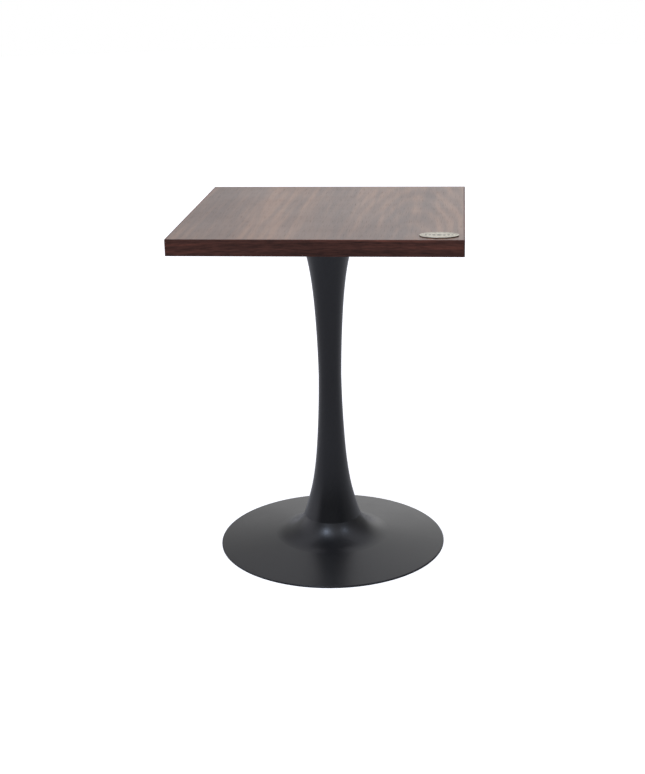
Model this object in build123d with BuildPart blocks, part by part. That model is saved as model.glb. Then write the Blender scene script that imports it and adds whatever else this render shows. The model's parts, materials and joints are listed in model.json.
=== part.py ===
from build123d import *
from math import cos, radians, sin, sqrt, tan
import os

# A bistro table: a square laminate top on a spun steel hourglass column and a round weighted base.
# Millimetres, +Z up. The origin is on the floor, on the column's axis. -Y is the front edge, where
# the badge is, and +X is to the right of a person who faces it.

os.makedirs("parts", exist_ok=True)

# ---------------------------------------------------------------- driving dimensions
# Whole table
table_height = 750.0
top_width = 575.0
top_thickness = 33.0
base_diameter = 500.0

# Tabletop
laminate_thickness = 0.8
backer_thickness = 0.6
edge_band_thickness = 3.0
edge_band_corner_radius = 2.0
edge_band_arris_radius = 1.2

# Badge, an oval plate on a foam pad near the front right corner of the top
badge_length = 76.0
badge_width = 50.0
badge_centre = (238.0, -248.0)
badge_height = 2.2
badge_rim_width = 3.2
badge_recess_depth = 0.5
badge_adhesive_thickness = 1.0
badge_adhesive_inset = 0.8
badge_mark_height = 0.4
# Enamel lozenges in a row: (distance from the badge's middle, length, width)
badge_marks = ((0.0, 11.0, 9.0), (10.0, 7.6, 6.4), (18.0, 6.0, 5.0), (25.0, 4.6, 3.8))
badge_edge_radius = 0.6

# Column, two identical spun trumpets that meet at the waist
neck_height = 64.0
column_waist_radius = 24.9
column_end_radius = 62.5
column_wall = 1.9
# (height above the waist, outer radius) between the waist and the flared end
trumpet_stations = ((60.0, 26.2), (120.0, 28.9), (180.0, 33.2), (225.0, 38.5), (260.0, 44.8))
trumpet_waist_slope = 0.012
trumpet_end_slope = 0.30

# Top fixing
plate_width = 250.0
plate_thickness = 4.0
plate_corner_radius = 20.0
plate_screw_spacing = 210.0
plate_boss_radius = 20.0
plate_boss_length = 20.0
plate_boss_chamfer = 1.0

# Base shell, a pressed steel cover with a swept neck, a shallow dish and a rolled rim
shell_thickness = 2.0
neck_angle = 60.0
dish_angle = 8.0
neck_sweep_radius = 88.0
rim_roll_radius = 2.2

# Base inside
rim_trim_thickness = 1.0
rim_trim_width = 4.5
rim_trim_lip_width = 1.6
rim_trim_lip_height = 0.7
ballast_radius = 200.0
ballast_bottom = 4.5
ballast_gap = 1.5
ballast_shoulder_height = 46.0
ballast_boss_radius = 40.0
ballast_top = 58.0
ballast_edge_radius = 1.0
nut_recess_radius = 17.0
nut_recess_depth = 18.0
damping_ring_inner = 180.0
damping_ring_outer = 192.0
collar_flange_radius = 60.0
collar_spigot_radius = 58.4
collar_spigot_height = 4.0
collar_drain_radius = 5.0
collar_drain_circle = 35.0
collar_drain_count = 3

# Column inside
disc_thickness = 3.0
lower_disc_radius = 58.2
upper_disc_radius = 57.3
upper_disc_drop = 10.0
waist_sleeve_length = 40.0
waist_sleeve_wall = 2.0

# Fasteners, ISO metric
hexagon_sides = 6
m12_radius = 6.0
m12_clearance_radius = 6.6
m12_nut_across_flats = 18.0
m12_nut_height = 10.8
m12_jam_nut_height = 6.0
m12_washer_radius = 12.0
m12_lock_washer_radius = 10.5
m12_washer_thickness = 2.5
m12_end_chamfer = 1.2
lock_washer_cut = 1.5
tie_rod_end_length = 0.8
tie_rod_top_gap = 1.5
m6_radius = 3.0
m6_clearance_radius = 3.4
m6_washer_radius = 6.0
m6_washer_thickness = 1.6
m6_head_radius = 5.25
m6_head_height = 3.3
m6_head_chamfer = 1.2
m6_screw_length = 22.0
m6_key_across_flats = 4.0
m6_key_depth = 2.0
insert_radius = 5.0
insert_length = 15.0
insert_pocket_depth = 18.0
fit_gap = 0.05

# Levelling glides, M8 stems screwed into the ballast
glide_circle_radius = 165.0
glide_count = 4
glide_floor_gap = 0.6
glide_pad_radius = 13.5
glide_pad_height = 2.1
glide_pad_floor = 1.0
glide_pad_chamfer = 0.6
glide_foot_radius = 12.0
glide_foot_height = 2.6
glide_foot_side_gap = 0.3
glide_flute_radius = 1.1
glide_flute_count = 12
glide_head_radius = 6.0
glide_head_height = 1.2
m8_radius = 4.0
m8_pitch = 1.25
m8_thread_depth = 0.65
m8_thread_lead_in = 0.5
glide_stem_top = 12.0
glide_bore_gap = 0.08

# ---------------------------------------------------------------- derived heights and radii
top_underside = table_height - top_thickness
plate_underside = top_underside - plate_thickness
column_half_length = (plate_underside - neck_height) / 2
waist_height = neck_height + column_half_length
core_width = top_width - 2 * edge_band_thickness
core_bottom = top_underside + backer_thickness
core_top = table_height - laminate_thickness
base_radius = base_diameter / 2
plate_boss_bottom = plate_underside - plate_boss_length

sweep_centre = (
    column_end_radius + neck_sweep_radius * sin(radians(neck_angle)),
    neck_height + neck_sweep_radius * cos(radians(neck_angle)),
)
neck_direction = (cos(radians(neck_angle)), -sin(radians(neck_angle)))
dish_direction = (cos(radians(dish_angle)), -sin(radians(dish_angle)))
dish_normal = (sin(radians(dish_angle)), cos(radians(dish_angle)))


def dish_point(radius, inset):
    """Point at a radius on the dish's straight line, set into the base by inset."""
    start_radius = sweep_centre[0] - dish_normal[0] * (neck_sweep_radius + inset)
    start_height = sweep_centre[1] - dish_normal[1] * (neck_sweep_radius + inset)
    return radius, start_height - (radius - start_radius) * tan(radians(dish_angle))


def sweep_start(inset):
    """Top of the neck's sweep, set into the base by inset at right angles to the surface."""
    reach = neck_sweep_radius + inset
    return (
        sweep_centre[0] - reach * sin(radians(neck_angle)),
        sweep_centre[1] - reach * cos(radians(neck_angle)),
    )


def sweep_end(inset):
    """Where the neck's sweep runs into the dish."""
    reach = neck_sweep_radius + inset
    return sweep_centre[0] - reach * dish_normal[0], sweep_centre[1] - reach * dish_normal[1]


def save(part, name):
    """Label a finished piece and write it."""
    part.label = name
    export_step(part, f"parts/{name}.step")


screw_places = GridLocations(plate_screw_spacing, plate_screw_spacing, 2, 2).locations

# ---------------------------------------------------------------- tabletop
with BuildPart() as tabletop_core:
    with BuildSketch(Plane.XY.offset(core_bottom)):
        Rectangle(core_width, core_width)
    extrude(amount=core_top - core_bottom)
    with BuildSketch(Plane.XY.offset(core_bottom)):
        with Locations(screw_places):
            Circle(insert_radius + fit_gap)
    extrude(amount=insert_pocket_depth, mode=Mode.SUBTRACT)
save(tabletop_core.part, "tabletop_core")

with BuildPart() as top_laminate:
    with BuildSketch(Plane.XY.offset(core_top)):
        Rectangle(core_width, core_width)
    extrude(amount=laminate_thickness)
save(top_laminate.part, "top_laminate")

with BuildPart() as backer_laminate:
    with BuildSketch(Plane.XY.offset(top_underside)):
        Rectangle(core_width, core_width)
        with Locations(screw_places):
            Circle(insert_radius + fit_gap, mode=Mode.SUBTRACT)
    extrude(amount=backer_thickness)
save(backer_laminate.part, "backer_laminate")

# The side bands run the full depth, and the front and rear bands fit between them.
for side_name, side in (("left", -1), ("right", 1)):
    with BuildPart() as side_band:
        with BuildSketch(Plane.XY.offset(top_underside)):
            with Locations((side * (top_width - edge_band_thickness) / 2, 0)):
                Rectangle(edge_band_thickness, top_width)
        extrude(amount=top_thickness)
        outer_face = side_band.faces().sort_by(Axis.X)[-1 if side > 0 else 0]
        fillet(outer_face.edges().filter_by(Axis.Z), radius=edge_band_corner_radius)
        outer_face = side_band.faces().sort_by(Axis.X)[-1 if side > 0 else 0]
        fillet(outer_face.edges().filter_by(Axis.Y), radius=edge_band_arris_radius)
    save(side_band.part, f"edge_band_{side_name}")

for end_name, end in (("front", -1), ("rear", 1)):
    with BuildPart() as end_band:
        with BuildSketch(Plane.XY.offset(top_underside)):
            with Locations((0, end * (top_width - edge_band_thickness) / 2)):
                Rectangle(core_width, edge_band_thickness)
        extrude(amount=top_thickness)
        outer_face = end_band.faces().sort_by(Axis.Y)[-1 if end > 0 else 0]
        fillet(outer_face.edges().filter_by(Axis.X), radius=edge_band_arris_radius)
    save(end_band.part, f"edge_band_{end_name}")

with BuildPart() as threaded_inserts:
    with BuildSketch(Plane.XY.offset(core_bottom)):
        with Locations(screw_places):
            Circle(insert_radius)
            Circle(m6_radius + fit_gap, mode=Mode.SUBTRACT)
    extrude(amount=insert_length)
save(threaded_inserts.part, "threaded_inserts")

# ---------------------------------------------------------------- badge
badge_bottom = table_height + badge_adhesive_thickness
badge_top = table_height + badge_height
recess_bottom = badge_top - badge_recess_depth

with BuildPart() as badge_adhesive:
    with BuildSketch(Plane.XY.offset(table_height)):
        with Locations(badge_centre):
            Ellipse(badge_length / 2 - badge_adhesive_inset, badge_width / 2 - badge_adhesive_inset)
    extrude(amount=badge_adhesive_thickness)
save(badge_adhesive.part, "badge_adhesive")

with BuildPart() as badge_plate:
    with BuildSketch(Plane.XY.offset(badge_bottom)):
        with Locations(badge_centre):
            Ellipse(badge_length / 2, badge_width / 2)
    extrude(amount=badge_top - badge_bottom)
    fillet(badge_plate.faces().sort_by(Axis.Z)[-1].edges(), radius=badge_edge_radius)
    with BuildSketch(Plane.XY.offset(recess_bottom)):
        with Locations(badge_centre):
            Ellipse(badge_length / 2 - badge_rim_width, badge_width / 2 - badge_rim_width)
    extrude(amount=badge_recess_depth, mode=Mode.SUBTRACT)
save(badge_plate.part, "badge_plate")

# The inlay is a row of plain enamel lozenges, alike on both sides of the middle one.
with BuildPart() as badge_inlay:
    with BuildSketch(Plane(badge_centre + (recess_bottom,))):
        for distance, length, width in badge_marks:
            for side in (-1, 1):
                with BuildLine():
                    Polyline(
                        (side * distance - length / 2, 0),
                        (side * distance, -width / 2),
                        (side * distance + length / 2, 0),
                        (side * distance, width / 2),
                        close=True,
                    )
                make_face()
    extrude(amount=badge_mark_height)
save(badge_inlay.part, "badge_inlay")

# ---------------------------------------------------------------- top fixing
with BuildPart() as mounting_plate:
    with BuildSketch(Plane.XY.offset(plate_underside)):
        RectangleRounded(plate_width, plate_width, plate_corner_radius)
        with Locations(screw_places):
            Circle(m6_clearance_radius, mode=Mode.SUBTRACT)
    extrude(amount=plate_thickness)
save(mounting_plate.part, "mounting_plate")

with BuildPart() as plate_boss:
    with BuildSketch(Plane.XY.offset(plate_boss_bottom)):
        Circle(plate_boss_radius)
        Circle(m12_radius, mode=Mode.SUBTRACT)
    extrude(amount=plate_boss_length)
    chamfer(plate_boss.edges().group_by(Axis.Z)[0].sort_by(SortBy.RADIUS)[-1], length=plate_boss_chamfer)
save(plate_boss.part, "plate_boss")

with BuildPart() as plate_washers:
    with BuildSketch(Plane.XY.offset(plate_underside - m6_washer_thickness)):
        with Locations(screw_places):
            Circle(m6_washer_radius)
            Circle(m6_clearance_radius, mode=Mode.SUBTRACT)
    extrude(amount=m6_washer_thickness)
save(plate_washers.part, "plate_washers")

with BuildPart() as plate_screws:
    head_top = plate_underside - m6_washer_thickness
    head_bottom = head_top - m6_head_height
    with BuildSketch(Plane.XY.offset(head_bottom)):
        with Locations(screw_places):
            Circle(m6_head_radius)
    extrude(amount=m6_head_height)
    chamfer(plate_screws.edges().group_by(Axis.Z)[0], length=m6_head_chamfer)
    with BuildSketch(Plane.XY.offset(head_top)):
        with Locations(screw_places):
            Circle(m6_radius)
    extrude(amount=m6_screw_length)
    with BuildSketch(Plane.XY.offset(head_bottom)):
        with Locations(screw_places):
            RegularPolygon(m6_key_across_flats / 2, hexagon_sides, major_radius=False)
    extrude(amount=m6_key_depth, mode=Mode.SUBTRACT)
save(plate_screws.part, "plate_screws")

# ---------------------------------------------------------------- column
trumpet_outer = [(column_waist_radius, waist_height)]
for rise, radius in trumpet_stations:
    trumpet_outer.append((radius, waist_height + rise))
trumpet_outer.append((column_end_radius, plate_underside))
trumpet_inner = [(radius - column_wall, height) for radius, height in trumpet_outer]
trumpet_tangents = [(trumpet_waist_slope, 1), (trumpet_end_slope, 1)]

with BuildPart() as upper_column_shell:
    with BuildSketch(Plane.XZ):
        with BuildLine():
            Spline(*trumpet_outer, tangents=trumpet_tangents)
            Line(trumpet_outer[-1], trumpet_inner[-1])
            Spline(*trumpet_inner, tangents=trumpet_tangents)
            Line(trumpet_inner[0], trumpet_outer[0])
        make_face()
    revolve(axis=Axis.Z)
save(upper_column_shell.part, "upper_column_shell")

with BuildPart() as lower_column_shell:
    mirror(upper_column_shell.part, about=Plane.XY.offset(waist_height))
save(lower_column_shell.part, "lower_column_shell")

with BuildPart() as waist_sleeve:
    sleeve_radius = column_waist_radius - column_wall - fit_gap
    with BuildSketch(Plane.XY.offset(waist_height - waist_sleeve_length / 2)):
        Circle(sleeve_radius)
        Circle(sleeve_radius - waist_sleeve_wall, mode=Mode.SUBTRACT)
    extrude(amount=waist_sleeve_length)
save(waist_sleeve.part, "waist_sleeve")

collar_top = neck_height + collar_spigot_height
with BuildPart() as lower_centring_disc:
    with BuildSketch(Plane.XY.offset(collar_top)):
        Circle(lower_disc_radius)
        Circle(m12_clearance_radius, mode=Mode.SUBTRACT)
    extrude(amount=disc_thickness)
save(lower_centring_disc.part, "lower_centring_disc")

with BuildPart() as upper_centring_disc:
    with BuildSketch(Plane.XY.offset(plate_underside - upper_disc_drop)):
        Circle(upper_disc_radius)
        Circle(plate_boss_radius + fit_gap, mode=Mode.SUBTRACT)
    extrude(amount=disc_thickness)
save(upper_centring_disc.part, "upper_centring_disc")

# ---------------------------------------------------------------- base shell
roll_start_radius = base_radius - rim_roll_radius * (1 - dish_normal[0])
roll_start = dish_point(roll_start_radius, 0)
roll_centre_height = roll_start[1] - rim_roll_radius * dish_normal[1]
inner_roll = rim_roll_radius - shell_thickness
roll_centre_radius = base_radius - rim_roll_radius
inner_roll_start = (
    roll_centre_radius + inner_roll * dish_normal[0],
    roll_centre_height + inner_roll * dish_normal[1],
)
neck_inner_radius = column_end_radius - shell_thickness / sin(radians(neck_angle))

with BuildPart() as base_shell:
    with BuildSketch(Plane.XZ):
        with BuildLine():
            TangentArc(sweep_start(0), sweep_end(0), tangent=neck_direction)
            Line(sweep_end(0), roll_start)
            TangentArc(roll_start, (base_radius, roll_centre_height), tangent=dish_direction)
            Polyline(
                (base_radius, roll_centre_height),
                (base_radius, rim_trim_thickness),
                (base_radius - shell_thickness, rim_trim_thickness),
                (base_radius - shell_thickness, roll_centre_height),
            )
            TangentArc(
                inner_roll_start,
                (base_radius - shell_thickness, roll_centre_height),
                tangent=dish_direction,
            )
            Line(inner_roll_start, sweep_end(shell_thickness))
            TangentArc(
                sweep_start(shell_thickness), sweep_end(shell_thickness), tangent=neck_direction
            )
            Polyline(
                sweep_start(shell_thickness),
                (neck_inner_radius, neck_height),
                (column_end_radius, neck_height),
            )
        make_face()
    revolve(axis=Axis.Z)
save(base_shell.part, "base_shell")

with BuildPart() as rim_trim:
    trim_inner = base_radius - rim_trim_width
    with BuildSketch():
        Circle(base_radius)
        Circle(trim_inner, mode=Mode.SUBTRACT)
    extrude(amount=rim_trim_thickness)
    with BuildSketch(Plane.XY.offset(rim_trim_thickness)):
        Circle(trim_inner + rim_trim_lip_width)
        Circle(trim_inner, mode=Mode.SUBTRACT)
    extrude(amount=rim_trim_lip_height)
save(rim_trim.part, "rim_trim")

with BuildPart() as base_collar:
    with BuildSketch(Plane.XY.offset(ballast_top)):
        Circle(collar_flange_radius)
    extrude(amount=neck_height - ballast_top)
    with BuildSketch(Plane.XY.offset(neck_height)):
        Circle(collar_spigot_radius)
    extrude(amount=collar_spigot_height)
    with BuildSketch(Plane.XY.offset(ballast_top)):
        Circle(m12_clearance_radius)
        with PolarLocations(collar_drain_circle, collar_drain_count):
            Circle(collar_drain_radius)
    extrude(amount=collar_top - ballast_top, mode=Mode.SUBTRACT)
save(base_collar.part, "base_collar")

# ---------------------------------------------------------------- ballast
glide_angles = [360 / glide_count * (index + 0.5) for index in range(glide_count)]
glide_centres = [
    (glide_circle_radius * cos(radians(angle)), glide_circle_radius * sin(radians(angle)))
    for angle in glide_angles
]
ballast_inset = shell_thickness + ballast_gap
ballast_reach = neck_sweep_radius + ballast_inset
shoulder_drop = sweep_centre[1] - ballast_shoulder_height
shoulder_radius = sweep_centre[0] - sqrt(ballast_reach**2 - shoulder_drop**2)
shoulder = (shoulder_radius, ballast_shoulder_height)
uphill_direction = (-dish_direction[0], -dish_direction[1])

with BuildPart() as ballast_plate:
    with BuildSketch(Plane.XZ):
        with BuildLine():
            Polyline(
                shoulder,
                (ballast_boss_radius, ballast_shoulder_height),
                (ballast_boss_radius, ballast_top),
                (0, ballast_top),
                (0, ballast_bottom),
                (ballast_radius, ballast_bottom),
                dish_point(ballast_radius, ballast_inset),
                sweep_end(ballast_inset),
            )
            TangentArc(sweep_end(ballast_inset), shoulder, tangent=uphill_direction)
        make_face()
    revolve(axis=Axis.Z)
    rim_edges = ballast_plate.edges().filter_by(GeomType.CIRCLE).group_by(SortBy.RADIUS)[-1]
    fillet(rim_edges, radius=ballast_edge_radius)
    with BuildSketch(Plane.XY.offset(ballast_bottom)):
        Circle(m12_clearance_radius)
        with Locations(glide_centres):
            Circle(m8_radius + glide_bore_gap)
    extrude(amount=ballast_top - ballast_bottom, mode=Mode.SUBTRACT)
    with BuildSketch(Plane.XY.offset(ballast_bottom)):
        Circle(nut_recess_radius)
    extrude(amount=nut_recess_depth, mode=Mode.SUBTRACT)
save(ballast_plate.part, "ballast_plate")

with BuildPart() as damping_ring:
    ring_top = shell_thickness + fit_gap
    ring_bottom = ballast_inset - fit_gap
    with BuildSketch(Plane.XZ):
        with BuildLine():
            Polyline(
                dish_point(damping_ring_inner, ring_top),
                dish_point(damping_ring_outer, ring_top),
                dish_point(damping_ring_outer, ring_bottom),
                dish_point(damping_ring_inner, ring_bottom),
                close=True,
            )
        make_face()
    revolve(axis=Axis.Z)
save(damping_ring.part, "damping_ring")

# ---------------------------------------------------------------- tie rod and its hardware
recess_ceiling = ballast_bottom + nut_recess_depth
washer_bottom = recess_ceiling - m12_washer_thickness
lock_washer_bottom = washer_bottom - m12_washer_thickness
tie_nut_bottom = lock_washer_bottom - m12_nut_height
tie_rod_bottom = tie_nut_bottom - tie_rod_end_length
tie_rod_top = plate_underside - tie_rod_top_gap
rod_radius = m12_radius - fit_gap

with BuildPart() as tie_rod:
    with BuildSketch(Plane.XY.offset(tie_rod_bottom)):
        Circle(rod_radius)
    extrude(amount=tie_rod_top - tie_rod_bottom)
    chamfer(tie_rod.faces().filter_by(Axis.Z).edges(), length=m12_end_chamfer)
save(tie_rod.part, "tie_rod")

with BuildPart() as tie_rod_nut:
    with BuildSketch(Plane.XY.offset(tie_nut_bottom)):
        RegularPolygon(m12_nut_across_flats / 2, hexagon_sides, major_radius=False)
        Circle(m12_radius, mode=Mode.SUBTRACT)
    extrude(amount=m12_nut_height)
save(tie_rod_nut.part, "tie_rod_nut")

with BuildPart() as tie_rod_jam_nut:
    with BuildSketch(Plane.XY.offset(plate_boss_bottom - m12_jam_nut_height)):
        RegularPolygon(m12_nut_across_flats / 2, hexagon_sides, major_radius=False)
        Circle(m12_radius, mode=Mode.SUBTRACT)
    extrude(amount=m12_jam_nut_height)
save(tie_rod_jam_nut.part, "tie_rod_jam_nut")

with BuildPart() as tie_rod_washer:
    with BuildSketch(Plane.XY.offset(washer_bottom)):
        Circle(m12_washer_radius)
        Circle(m12_clearance_radius, mode=Mode.SUBTRACT)
    extrude(amount=m12_washer_thickness)
save(tie_rod_washer.part, "tie_rod_washer")

# The lock washer is a single spring turn, cut through on one side.
with BuildPart() as tie_rod_lock_washer:
    with BuildSketch(Plane.XY.offset(lock_washer_bottom)):
        Circle(m12_lock_washer_radius)
        Circle(m12_clearance_radius, mode=Mode.SUBTRACT)
        with Locations((m12_lock_washer_radius, 0)):
            Rectangle(m12_lock_washer_radius, lock_washer_cut, mode=Mode.SUBTRACT)
    extrude(amount=m12_washer_thickness)
save(tie_rod_lock_washer.part, "tie_rod_lock_washer")

# ---------------------------------------------------------------- levelling glides, fully screwed in
pad_recess_bottom = glide_floor_gap + glide_pad_floor
foot_bottom = pad_recess_bottom + fit_gap
foot_top = foot_bottom + glide_foot_height
stem_bottom = foot_bottom + glide_head_height
thread_start = ballast_bottom + m8_thread_lead_in

for number, (centre_x, centre_y) in enumerate(glide_centres, start=1):
    glide_axis = Axis((centre_x, centre_y, 0), (0, 0, 1))
    glide_section = Plane(origin=(centre_x, centre_y, 0), x_dir=(1, 0, 0), z_dir=(0, -1, 0))

    with BuildPart() as glide_pad:
        with BuildSketch(glide_section):
            with BuildLine():
                Polyline(
                    (0, glide_floor_gap),
                    (glide_pad_radius - glide_pad_chamfer, glide_floor_gap),
                    (glide_pad_radius, glide_floor_gap + glide_pad_chamfer),
                    (glide_pad_radius, glide_floor_gap + glide_pad_height),
                    (glide_foot_radius + glide_foot_side_gap, glide_floor_gap + glide_pad_height),
                    (glide_foot_radius + glide_foot_side_gap, pad_recess_bottom),
                    (0, pad_recess_bottom),
                    close=True,
                )
            make_face()
        revolve(axis=glide_axis)
    save(glide_pad.part, f"glide_{number}_pad")

    with BuildPart() as glide_foot:
        with BuildSketch(Plane((centre_x, centre_y, foot_bottom))):
            Circle(glide_foot_radius)
            with PolarLocations(glide_foot_radius, glide_flute_count):
                Circle(glide_flute_radius, mode=Mode.SUBTRACT)
            Circle(m8_radius + fit_gap, mode=Mode.SUBTRACT)
        extrude(amount=glide_foot_height)
        with BuildSketch(Plane((centre_x, centre_y, foot_bottom))):
            Circle(glide_head_radius + fit_gap)
        extrude(amount=glide_head_height, mode=Mode.SUBTRACT)
    save(glide_foot.part, f"glide_{number}_foot")

    # Stem with its head inside the foot. Its thread is drawn as rings one pitch apart.
    with BuildPart() as glide_spindle:
        with BuildSketch(glide_section):
            with BuildLine():
                thread_points = [(m8_radius, stem_bottom), (m8_radius, thread_start)]
                groove_bottom = thread_start
                while groove_bottom + m8_pitch < glide_stem_top:
                    thread_points.append((m8_radius - m8_thread_depth, groove_bottom + m8_pitch / 2))
                    thread_points.append((m8_radius, groove_bottom + m8_pitch))
                    groove_bottom += m8_pitch
                Polyline(
                    (0, foot_bottom),
                    (glide_head_radius, foot_bottom),
                    (glide_head_radius, stem_bottom),
                    *thread_points,
                    (m8_radius - m8_thread_depth, glide_stem_top),
                    (0, glide_stem_top),
                    close=True,
                )
            make_face()
        revolve(axis=glide_axis)
    save(glide_spindle.part, f"glide_{number}_spindle")
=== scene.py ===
import json
from math import cos, pi, radians, sin

import bmesh
import bpy
from mathutils import Matrix, Vector


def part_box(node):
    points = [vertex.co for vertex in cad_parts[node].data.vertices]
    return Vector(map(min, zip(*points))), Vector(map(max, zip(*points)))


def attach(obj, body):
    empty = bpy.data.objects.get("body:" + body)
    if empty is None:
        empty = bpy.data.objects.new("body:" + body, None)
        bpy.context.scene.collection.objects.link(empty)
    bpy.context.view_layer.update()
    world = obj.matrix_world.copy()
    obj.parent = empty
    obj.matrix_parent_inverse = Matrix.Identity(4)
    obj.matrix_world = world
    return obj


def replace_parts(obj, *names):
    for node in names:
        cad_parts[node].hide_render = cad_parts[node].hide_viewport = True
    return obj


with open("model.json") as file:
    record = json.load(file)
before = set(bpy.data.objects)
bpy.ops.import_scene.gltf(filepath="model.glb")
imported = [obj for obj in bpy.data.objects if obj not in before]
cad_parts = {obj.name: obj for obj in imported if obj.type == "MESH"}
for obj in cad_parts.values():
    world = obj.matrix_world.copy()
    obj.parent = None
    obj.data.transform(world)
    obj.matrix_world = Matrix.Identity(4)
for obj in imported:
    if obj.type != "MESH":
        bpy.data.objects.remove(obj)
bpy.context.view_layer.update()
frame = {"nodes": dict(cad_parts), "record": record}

MM = 0.001
nodes = frame["nodes"]


# ---------------------------------------------------------------- camera
camera_place = Vector((0.2777, -2.8380, 1.3017))
camera_yaw = radians(-5.927)
camera_pitch = radians(18.25)
camera_roll = radians(-1.119)
camera_lens_mm = 63.97
camera_sensor_mm = 36.0


def make_camera():
    """A camera just below eye height, in front of the table and tilted down to it."""
    forward = Vector(
        (sin(camera_yaw) * cos(camera_pitch), cos(camera_yaw) * cos(camera_pitch), -sin(camera_pitch))
    )
    level_right = Vector((cos(camera_yaw), -sin(camera_yaw), 0))
    level_up = level_right.cross(forward)
    right = cos(camera_roll) * level_right + sin(camera_roll) * level_up
    up = cos(camera_roll) * level_up - sin(camera_roll) * level_right
    data = bpy.data.cameras.new("camera")
    data.lens = camera_lens_mm
    data.sensor_width = camera_sensor_mm
    camera = bpy.data.objects.new("camera", data)
    turn = Matrix((right, up, -forward)).transposed().to_4x4()
    camera.matrix_world = Matrix.Translation(camera_place) @ turn
    bpy.context.scene.collection.objects.link(camera)
    bpy.context.scene.camera = camera


# ---------------------------------------------------------------- material helper
# Nearly all of a noise's values lie between these two
NOISE_LOW = 0.3
NOISE_HIGH = 0.7


class Paint:
    """A material under construction. add() makes a node and feeds its sockets by name."""

    def __init__(self, name):
        self.material = bpy.data.materials.new(name)
        self.material.use_nodes = True
        self.tree = self.material.node_tree
        self.surface = self.tree.nodes["Principled BSDF"]

    def add(self, kind, sockets=None, **settings):
        node = self.tree.nodes.new("ShaderNode" + kind)
        for key, value in settings.items():
            setattr(node, key, value)
        for key, value in (sockets or {}).items():
            self.feed(node.inputs[key], value)
        return node

    def feed(self, socket, value):
        if isinstance(value, bpy.types.NodeSocket):
            self.tree.links.new(value, socket)
        else:
            socket.default_value = value

    def finish(self, **sockets):
        """Feed the surface shader. Words in a socket's name are joined by underscores."""
        for key, value in sockets.items():
            self.feed(self.surface.inputs[key.replace("_", " ")], value)
        return self.material

    def place(self):
        return self.add("TexCoord").outputs["Object"]

    def stretch(self, vector, scale):
        """The vector multiplied axis by axis."""
        return self.add("VectorMath", {0: vector, 1: scale}, operation="MULTIPLY").outputs[0]

    def math(self, operation, first, second):
        return self.add("Math", {0: first, 1: second}, operation=operation).outputs[0]

    def noise(self, vector, scale, detail=3.0, roughness=0.5, distortion=0.0):
        sockets = {
            "Vector": vector,
            "Scale": scale,
            "Detail": detail,
            "Roughness": roughness,
            "Distortion": distortion,
        }
        return self.add("TexNoise", sockets).outputs["Fac"]

    def streaky(self, grain, across, along, **settings):
        """Noise drawn out along the grain, whose second axis is its length. Rates are per metre."""
        return self.noise(self.stretch(grain, (across, along, across)), 1.0, **settings)

    def remap(self, value, low, high, to_low=0.0, to_high=1.0):
        sockets = {"Value": value, "From Min": low, "From Max": high, "To Min": to_low, "To Max": to_high}
        return self.add("MapRange", sockets).outputs["Result"]

    def across_noise(self, noise, to_low=0.0, to_high=1.0):
        """A noise's usual range, remapped to run from one value to another."""
        return self.remap(noise, NOISE_LOW, NOISE_HIGH, to_low, to_high)

    def ramp(self, value, *stops):
        """Colour ramp; each stop is (position, (red, green, blue))."""
        node = self.add("ValToRGB", {"Fac": value})
        elements = node.color_ramp.elements
        while len(elements) < len(stops):
            elements.new(0.5)
        for element, (position, colour) in zip(elements, stops):
            element.position = position
            element.color = (*colour, 1)
        return node.outputs["Color"]

    def blend(self, fraction, first, second, mode="MIX"):
        node = self.add("Mix", data_type="RGBA", blend_type=mode)
        self.feed(node.inputs["Factor"], fraction)
        for socket, value in ((node.inputs[6], first), (node.inputs[7], second)):
            if isinstance(value, tuple):
                value = (*value, 1)
            self.feed(socket, value)
        return node.outputs[2]

    def bump(self, height, distance, strength):
        sockets = {"Height": height, "Distance": distance, "Strength": strength}
        return self.add("Bump", sockets).outputs["Normal"]


# ---------------------------------------------------------------- materials
# How far the walnut's grain wanders sideways, in metres
WANDER = 0.035
# Nested arches: they fade in from the middle of the piece to its right, between two weights
ARCH_REACH = 0.16
ARCH_WEIGHTS = (0.08, 0.20)
ARCH_STRETCH = (1.0, 0.14, 1.0)
ARCH_WAVES = {"Scale": 17.0, "Distortion": 2.6, "Detail": 2.0, "Detail Scale": 1.6, "Detail Roughness": 0.5}
FIGURE_BASE = 0.07
BROAD_WEIGHT = 0.34
STREAK_WEIGHT = 0.40
LINE_WEIGHT = 0.12
PORE_COVER = 0.38
PORE_SHADE = 0.45
PORE_DULLNESS = 0.12
PRINT_RELIEF = 0.6


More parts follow.
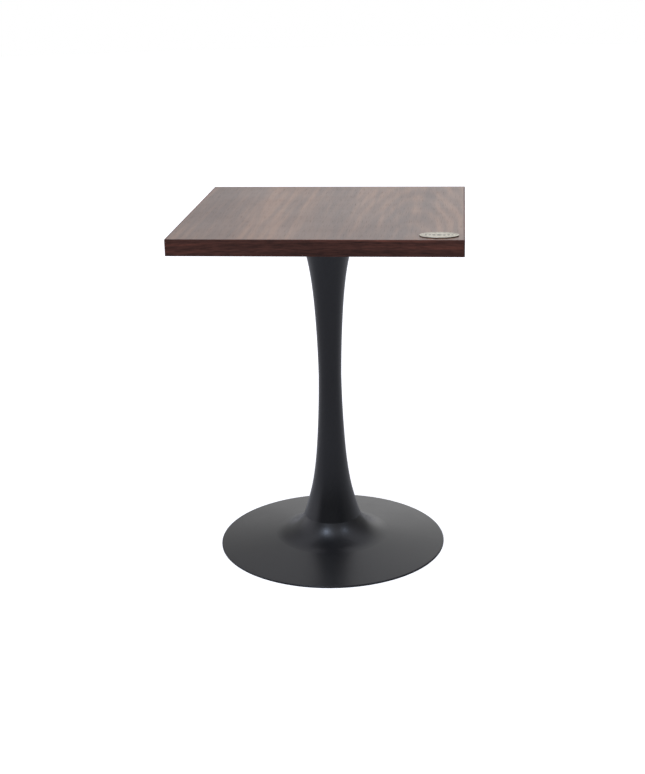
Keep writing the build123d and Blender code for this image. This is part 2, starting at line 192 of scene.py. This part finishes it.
def walnut(name, axes, tones, contrast, roughness, sheen, ring_centre, pore_depth, fibre_rate, fibre_shades):
    """Walnut print: broad streaks, nested arches, fibres and pores along the second of its axes."""
    dark, middle, tan = tones
    across, along, depth = axes
    paint = Paint(name)
    split = paint.add("SeparateXYZ", {0: paint.place()}).outputs
    grain = paint.add("CombineXYZ", {0: split[across], 1: split[along], 2: split[depth]}).outputs[0]

    wander = paint.streaky(grain, 6.0, 1.3, detail=1.0)
    sway = paint.add("CombineXYZ", {0: paint.math("MULTIPLY", wander, WANDER)}).outputs[0]
    bent = paint.add("VectorMath", {0: grain, 1: sway}, operation="ADD").outputs[0]

    broad = paint.streaky(bent, 10.0, 0.8, detail=2.0)
    streaks = paint.streaky(bent, 34.0, 2.0, roughness=0.55, distortion=0.3)
    lines = paint.streaky(bent, 150.0, 3.5, detail=2.0)
    fibre = paint.streaky(bent, 420.0, fibre_rate, roughness=0.6)
    centred = paint.add("VectorMath", {0: bent, 1: ring_centre}, operation="SUBTRACT").outputs[0]
    rings = paint.add(
        "TexWave",
        {"Vector": paint.stretch(centred, ARCH_STRETCH), **ARCH_WAVES},
        wave_type="RINGS",
        rings_direction="Z",
        wave_profile="SIN",
    ).outputs["Fac"]

    arches = paint.remap(split[across], 0.0, ARCH_REACH, *ARCH_WEIGHTS)
    figure = paint.math("MULTIPLY", paint.math("SUBTRACT", rings, 0.5), arches)
    figure = paint.math("ADD", figure, FIGURE_BASE)
    for layer, weight in ((broad, BROAD_WEIGHT), (streaks, STREAK_WEIGHT), (lines, LINE_WEIGHT)):
        figure = paint.math("ADD", figure, paint.math("MULTIPLY", paint.across_noise(layer), weight))
    figure = paint.remap(figure, 0.5 - contrast, 0.5 + contrast)
    colour = paint.ramp(figure, (0.0, dark), (0.5, middle), (1.0, tan))
    shade = paint.remap(fibre, 0.25, 0.75, *fibre_shades)
    grey = paint.add("CombineXYZ", {0: shade, 1: shade, 2: shade}).outputs[0]
    colour = paint.blend(1.0, colour, grey, "MULTIPLY")

    pores = paint.remap(paint.streaky(bent, 1300.0, 22.0, detail=1.0), 0.60, 0.72)
    pore_colour = tuple(PORE_SHADE * part for part in dark)
    colour = paint.blend(paint.math("MULTIPLY", pores, PORE_COVER), colour, pore_colour)

    smudge = paint.noise(grain, 9.0)
    gloss = paint.across_noise(smudge, roughness - 0.015, roughness + 0.02)
    gloss = paint.math("ADD", gloss, paint.math("MULTIPLY", pores, PORE_DULLNESS))
    height = paint.math("SUBTRACT", paint.math("MULTIPLY", fibre, 0.5), pores)
    return paint.finish(
        Base_Color=colour,
        Roughness=gloss,
        Specular_IOR_Level=sheen,
        Normal=paint.bump(height, pore_depth, PRINT_RELIEF),
    )


COAT_TONES = ((0.0085, 0.0088, 0.0095), (0.0135, 0.0138, 0.0145))
BADGE_TONES = ((0.44, 0.41, 0.33), (0.64, 0.61, 0.53))


def powder_coat():
    """Satin black powder coat with the fine orange peel of a baked film."""
    paint = Paint("black_powder_coat")
    place = paint.place()
    peel = paint.noise(place, 520.0, detail=2.0, roughness=0.45)
    grit = paint.noise(place, 2600.0, detail=1.0)
    cloud = paint.noise(place, 7.0, detail=4.0, roughness=0.6)
    colour = paint.ramp(cloud, (NOISE_LOW, COAT_TONES[0]), (NOISE_HIGH, COAT_TONES[1]))
    height = paint.math("ADD", peel, paint.math("MULTIPLY", grit, 0.3))
    return paint.finish(
        Base_Color=colour,
        Roughness=paint.across_noise(cloud, 0.29, 0.35),
        Normal=paint.bump(height, 0.12 * MM, 0.35),
    )


def brushed_steel(name, tones, roughness):
    """Plated or bare steel with fine brushed scratches and a cloudy surface."""
    paint = Paint(name)
    place = paint.place()
    cloud = paint.noise(place, 60.0, detail=4.0, roughness=0.6)
    scratch = paint.noise(paint.stretch(place, (300.0, 300.0, 4000.0)), 1.0, detail=3.0)
    return paint.finish(
        Base_Color=paint.ramp(cloud, (NOISE_LOW, tones[0]), (NOISE_HIGH, tones[1])),
        Metallic=1.0,
        Roughness=paint.across_noise(cloud, roughness - 0.05, roughness + 0.08),
        Normal=paint.bump(scratch, 0.03 * MM, 0.5),
    )


def badge_metal():
    """Champagne satin metal with a light grain along the badge and patches of darker tarnish."""
    paint = Paint("badge_metal")
    place = paint.place()
    grain = paint.noise(paint.stretch(place, (250.0, 4200.0, 4200.0)), 1.0, detail=3.0)
    tarnish = paint.noise(place, 160.0, detail=5.0, roughness=0.65)
    colour = paint.ramp(tarnish, (0.35, BADGE_TONES[0]), (NOISE_HIGH, BADGE_TONES[1]))
    return paint.finish(
        Base_Color=colour,
        Metallic=1.0,
        Roughness=paint.across_noise(tarnish, 0.40, 0.26),
        Normal=paint.bump(grain, 0.04 * MM, 0.6),
    )


def moulded(name, tones, roughness, grain_scale, grain_height, specks=0.0):
    """Moulded, cast, painted or pressed stuff: mottled colour over a fine grain, its height in mm."""
    paint = Paint(name)
    place = paint.place()
    mottle = paint.noise(place, 35.0, detail=5.0, roughness=0.65)
    grain = paint.noise(place, grain_scale, detail=3.0, roughness=0.6)
    colour = paint.ramp(mottle, (NOISE_LOW, tones[0]), (NOISE_HIGH, tones[1]))
    if specks:
        chips = paint.add("TexVoronoi", {"Vector": place, "Scale": grain_scale}).outputs["Color"]
        colour = paint.blend(specks, colour, chips, "OVERLAY")
    return paint.finish(
        Base_Color=colour,
        Roughness=paint.across_noise(mottle, roughness - 0.06, roughness + 0.06),
        Normal=paint.bump(grain, grain_height * MM, 0.8),
    )


TOP_PRINT = {
    "tones": ((0.110, 0.058, 0.042), (0.162, 0.085, 0.056), (0.256, 0.132, 0.078)),
    "contrast": 0.25,
    "roughness": 0.34,
    "sheen": 0.45,
    "ring_centre": (0.20, -0.45, 0.0),
    "pore_depth": 0.06 * MM,
    "fibre_rate": 11.0,
    "fibre_shades": (0.90, 1.08),
}
BAND_PRINT = {
    "tones": ((0.064, 0.022, 0.014), (0.100, 0.035, 0.023), (0.170, 0.052, 0.031)),
    "contrast": 0.27,
    "roughness": 0.42,
    "sheen": 0.25,
    "ring_centre": (0.0, 0.0, 0.0),
    "pore_depth": 0.08 * MM,
    "fibre_rate": 40.0,
    "fibre_shades": (0.42, 1.56),
}
# Slot: (dark and light tones, roughness)
STEEL = {
    "zinc_steel": (((0.50, 0.51, 0.53), (0.68, 0.69, 0.70)), 0.30),
    "bare_steel": (((0.22, 0.21, 0.20), (0.36, 0.35, 0.34)), 0.42),
}
# Slot: (dark and light tones, roughness, grains per metre, grain height in mm, strength of the specks)
MOULDED = {
    "backer_laminate": (((0.012, 0.010, 0.009), (0.022, 0.018, 0.016)), 0.55, 900.0, 0.08, 0.0),
    "particleboard": (((0.42, 0.30, 0.17), (0.62, 0.47, 0.30)), 0.85, 420.0, 0.3, 0.5),
    "badge_enamel": (((0.016, 0.018, 0.014), (0.030, 0.033, 0.027)), 0.34, 1500.0, 0.02, 0.0),
    # adhesive_foam: a real foam pad under the badge, whose near-black tone also paints the shade under the
    # badge's rim
    "adhesive_foam": (((0.010, 0.010, 0.010), (0.022, 0.022, 0.022)), 0.85, 2500.0, 0.1, 0.0),
    "cast_iron": (((0.016, 0.016, 0.017), (0.034, 0.033, 0.033)), 0.62, 700.0, 0.4, 0.0),
    "black_rubber": (((0.008, 0.008, 0.008), (0.016, 0.016, 0.016)), 0.72, 1800.0, 0.06, 0.0),
    "black_nylon": (((0.010, 0.010, 0.011), (0.020, 0.020, 0.021)), 0.48, 2200.0, 0.04, 0.0),
}


def make_materials():
    """One material for each slot, and two more for the bands across the ends and along the sides."""
    materials = {slot: moulded(slot, *look) for slot, look in MOULDED.items()}
    materials["walnut_laminate"] = walnut("walnut_laminate", (0, 1, 2), **TOP_PRINT)
    materials["band_ends"] = walnut("walnut_band_ends", (2, 0, 1), **BAND_PRINT)
    materials["band_sides"] = walnut("walnut_band_sides", (2, 1, 0), **BAND_PRINT)
    materials["badge_metal"] = badge_metal()
    for slot, look in STEEL.items():
        materials[slot] = brushed_steel(slot, *look)
    materials["black_powder_coat"] = powder_coat()
    return materials


def dress(materials):
    """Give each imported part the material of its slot, and the bands a grain along their own length."""
    own = {
        "edge_band_front": "band_ends",
        "edge_band_rear": "band_ends",
        "edge_band_left": "band_sides",
        "edge_band_right": "band_sides",
    }
    for row in frame["record"]["subparts"]:
        name = row["node"]
        mesh = nodes[name].data
        mesh.materials.clear()
        mesh.materials.append(materials[own.get(name, row["material_slot"])])


# ---------------------------------------------------------------- badge
badge_low, badge_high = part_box("badge_plate")
badge_middle = (badge_low + badge_high) / 2
badge_half_length = (badge_high.x - badge_low.x) / 2
badge_half_width = (badge_high.y - badge_low.y) / 2
BADGE_SEGMENTS = 160
# (inset from the outline, depth below the rim's crown) in mm, from the bottom edge over the rim
# and into the field
RIM_PROFILE = (
    (0.35, 1.20), (0.05, 1.08), (0.00, 0.80), (0.08, 0.50), (0.28, 0.25), (0.62, 0.07), (1.10, 0.0),
    (1.75, 0.0), (2.25, 0.05), (2.65, 0.15), (2.95, 0.31), (3.20, 0.50), (4.10, 0.50), (4.25, 0.62),
    (4.60, 0.62), (4.75, 0.50),
)
FIELD_STEPS = (0.75, 0.5, 0.25)
# (distance from the badge's middle, length, width) in mm
BADGE_MARKS = ((0.0, 11.0, 9.0), (10.0, 7.6, 6.4), (18.0, 6.0, 5.0), (25.0, 4.6, 3.8))
# (share of a mark's length and width, share of its height) from its foot to its face
MARK_PROFILE = ((1.0, 0.0), (1.0, 0.65), (0.80, 1.0))
SHARP_ANGLE = radians(40)


def new_piece(name, shape, material):
    """A finished mesh as a piece of the table, smooth except at its sharp edges."""
    bmesh.ops.recalc_face_normals(shape, faces=shape.faces)
    mesh = bpy.data.meshes.new(name)
    shape.to_mesh(mesh)
    shape.free()
    mesh.shade_smooth()
    mesh.set_sharp_from_angle(angle=SHARP_ANGLE)
    mesh.materials.append(material)
    piece = bpy.data.objects.new(name, mesh)
    bpy.context.scene.collection.objects.link(piece)
    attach(piece, "table")
    return piece


def bridge(shape, lower, upper):
    """Quads between two rings of the same length."""
    for here in range(len(lower)):
        there = (here + 1) % len(lower)
        shape.faces.new((lower[here], lower[there], upper[there], upper[here]))


def badge_ring(shape, half_length, half_width, height):
    """A level oval of points about the badge's middle."""
    turns = [2 * pi * step / BADGE_SEGMENTS for step in range(BADGE_SEGMENTS)]
    return [
        shape.verts.new(
            (badge_middle.x + half_length * cos(turn), badge_middle.y + half_width * sin(turn), height)
        )
        for turn in turns
    ]


def make_badge_body(material):
    """Pressed oval plate: a rolled rim round a sunken field with an engraved line along its edge."""
    shape = bmesh.new()
    rings = [
        badge_ring(
            shape, badge_half_length - inset * MM, badge_half_width - inset * MM, badge_high.z - depth * MM
        )
        for inset, depth in RIM_PROFILE
    ]
    inset, depth = RIM_PROFILE[-1]
    for step in FIELD_STEPS:
        rings.append(
            badge_ring(
                shape,
                step * (badge_half_length - inset * MM),
                step * (badge_half_width - inset * MM),
                badge_high.z - depth * MM,
            )
        )
    for lower, upper in zip(rings, rings[1:]):
        bridge(shape, lower, upper)
    centre = shape.verts.new((badge_middle.x, badge_middle.y, badge_high.z - depth * MM))
    for here in range(BADGE_SEGMENTS):
        shape.faces.new((rings[-1][here], rings[-1][(here + 1) % BADGE_SEGMENTS], centre))
    shape.faces.new(reversed(rings[0]))
    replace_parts(new_piece("badge_body", shape, material), "badge_plate")


def make_badge_marks(material):
    """A row of plain enamel lozenges with sloping shoulders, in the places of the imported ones."""
    low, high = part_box("badge_inlay")
    shape = bmesh.new()
    for distance, length, width in BADGE_MARKS:
        for side in (-1, 1) if distance else (1,):
            rings = []
            x = badge_middle.x + side * distance * MM
            for spread, rise in MARK_PROFILE:
                reach, span = spread * length / 2 * MM, spread * width / 2 * MM
                height = low.z + rise * (high.z - low.z)
                corners = ((-reach, 0), (0, -span), (reach, 0), (0, span))
                rings.append([shape.verts.new((x + dx, badge_middle.y + dy, height)) for dx, dy in corners])
            bridge(shape, rings[0], rings[1])
            bridge(shape, rings[1], rings[2])
            shape.faces.new(rings[2])
            shape.faces.new(reversed(rings[0]))
    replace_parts(new_piece("badge_marks", shape, material), "badge_inlay")


# ---------------------------------------------------------------- studio
# Soft panels of light far away: (direction, cosine of the angle where the panel fades
# out, brightness, tint)
WHITE = Vector((1.0, 1.0, 1.0))
SKY = Vector((0.95, 0.95, 1.05))
PANELS = (
    ((0.0, 0.0, 1.0), 0.40, 1.1, SKY),
    ((-1.0, 0.0, 0.15), 0.70, 1.1, SKY),
    ((1.0, 0.0, 0.15), 0.70, 0.2, WHITE),
    ((-0.7, 0.7, 0.1), 0.80, 0.5, WHITE),
    ((0.7, 0.7, 0.1), 0.80, 0.25, WHITE),
    ((0.0, 0.7, 0.7), 0.75, 0.1, WHITE),
    ((0.1, 0.9, 0.35), 0.85, 0.8, WHITE),
    ((0.0, 1.0, 0.05), 0.90, 0.45, WHITE),
    ((0.0, -1.0, 0.3), 0.60, 0.1, WHITE),
)


def make_world():
    """White to the camera. Everything else sees the panels, brightest above, to the left and behind."""
    world = bpy.data.worlds.new("studio")
    bpy.context.scene.world = world
    world.use_nodes = True
    tree = world.node_tree
    tree.nodes.clear()
    new = tree.nodes.new
    link = tree.links.new
    coordinates = new("ShaderNodeTexCoord")
    light = None
    for direction, faded, brightness, tint in PANELS:
        facing = new("ShaderNodeVectorMath")
        facing.operation = "DOT_PRODUCT"
        facing.inputs[1].default_value = Vector(direction).normalized()
        link(coordinates.outputs["Generated"], facing.inputs[0])
        spread = new("ShaderNodeMapRange")
        spread.interpolation_type = "SMOOTHSTEP"
        spread.inputs["From Min"].default_value = faded
        link(facing.outputs["Value"], spread.inputs["Value"])
        panel = new("ShaderNodeBackground")
        panel.inputs["Color"].default_value = (*(brightness * tint), 1)
        link(spread.outputs["Result"], panel.inputs["Strength"])
        if light is None:
            light = panel.outputs[0]
        else:
            both = new("ShaderNodeAddShader")
            link(light, both.inputs[0])
            link(panel.outputs[0], both.inputs[1])
            light = both.outputs[0]
    paper = new("ShaderNodeBackground")
    paper.inputs["Color"].default_value = (1, 1, 1, 1)
    ray = new("ShaderNodeLightPath")
    mix = new("ShaderNodeMixShader")
    out = new("ShaderNodeOutputWorld")
    link(ray.outputs["Is Camera Ray"], mix.inputs["Fac"])
    link(light, mix.inputs[1])
    link(paper.outputs[0], mix.inputs[2])
    link(mix.outputs[0], out.inputs["Surface"])


FLOOR_RADIUS = 14.0
FLOOR_SEGMENTS = 96
FLOOR_PAPER = (0.95, 0.95, 0.95, 1)
FLOOR_GLOW = 0.55
# To bounced light: dull up to one place along Y, and bright from another
FLOOR_DULL_BEFORE = -0.2
FLOOR_BRIGHT_BEHIND = 0.5
FLOOR_DULL = (0.60, 0.60, 0.62, 1)
FLOOR_BRIGHT = (0.80, 0.80, 0.80, 1)


def make_floor():
    """A pale studio floor. To bounced light it is dull before the table and brighter behind it."""
    mesh = bpy.data.meshes.new("floor")
    shape = bmesh.new()
    bmesh.ops.create_circle(shape, cap_ends=True, radius=FLOOR_RADIUS, segments=FLOOR_SEGMENTS)
    shape.to_mesh(mesh)
    shape.free()
    floor = bpy.data.objects.new("floor", mesh)
    bpy.context.scene.collection.objects.link(floor)
    material = bpy.data.materials.new("floor")
    material.use_nodes = True
    tree = material.node_tree
    tree.nodes.clear()
    pale = tree.nodes.new("ShaderNodeBsdfDiffuse")
    pale.inputs["Color"].default_value = FLOOR_PAPER
    dull = tree.nodes.new("ShaderNodeBsdfDiffuse")
    where = tree.nodes.new("ShaderNodeTexCoord")
    split = tree.nodes.new("ShaderNodeSeparateXYZ")
    depth = tree.nodes.new("ShaderNodeMapRange")
    depth.inputs["From Min"].default_value = FLOOR_DULL_BEFORE
    depth.inputs["From Max"].default_value = FLOOR_BRIGHT_BEHIND
    tone = tree.nodes.new("ShaderNodeValToRGB")
    tone.color_ramp.elements[0].color = FLOOR_DULL
    tone.color_ramp.elements[1].color = FLOOR_BRIGHT
    glow = tree.nodes.new("ShaderNodeEmission")
    glow.inputs["Strength"].default_value = FLOOR_GLOW
    lit = tree.nodes.new("ShaderNodeAddShader")
    ray = tree.nodes.new("ShaderNodeLightPath")
    mix = tree.nodes.new("ShaderNodeMixShader")
    out = tree.nodes.new("ShaderNodeOutputMaterial")
    for start, end in (
        (where.outputs["Object"], split.inputs[0]),
        (split.outputs["Y"], depth.inputs["Value"]),
        (depth.outputs["Result"], tone.inputs["Fac"]),
        (tone.outputs["Color"], dull.inputs["Color"]),
        (pale.outputs[0], lit.inputs[0]),
        (glow.outputs[0], lit.inputs[1]),
        (ray.outputs["Is Camera Ray"], mix.inputs["Fac"]),
        (dull.outputs[0], mix.inputs[1]),
        (lit.outputs[0], mix.inputs[2]),
        (mix.outputs[0], out.inputs["Surface"]),
    ):
        tree.links.new(start, end)
    mesh.materials.append(material)


SOFTBOX_SIZE = 0.42
SOFTBOX_TINT = (0.66, 0.78, 1.0)
SOFTBOX_TARGET = Vector((0.0, 0.0, 0.1))
# (name, place, watts)
SOFTBOXES = (("key", (-0.9, -2.0, 3.45), 29.0), ("second", (2.2, -1.3, 3.2), 9.0))


def add_softbox(name, place, watts):
    """A square softbox that points at the neck of the base."""
    data = bpy.data.lights.new(name, "AREA")
    data.size = SOFTBOX_SIZE
    data.energy = watts
    data.color = SOFTBOX_TINT
    lamp = bpy.data.objects.new(name, data)
    lamp.location = place
    lamp.rotation_mode = "QUATERNION"
    lamp.rotation_quaternion = (SOFTBOX_TARGET - Vector(place)).to_track_quat("-Z", "Y")
    bpy.context.scene.collection.objects.link(lamp)


def make_studio():
    make_world()
    make_floor()
    for name, place, watts in SOFTBOXES:
        add_softbox(name, place, watts)
    view = bpy.context.scene.view_settings
    view.view_transform = "Standard"
    view.look = "None"


# ---------------------------------------------------------------- make it
make_camera()
make_studio()
materials = make_materials()
dress(materials)
make_badge_body(materials["badge_metal"])
make_badge_marks(materials["badge_enamel"])
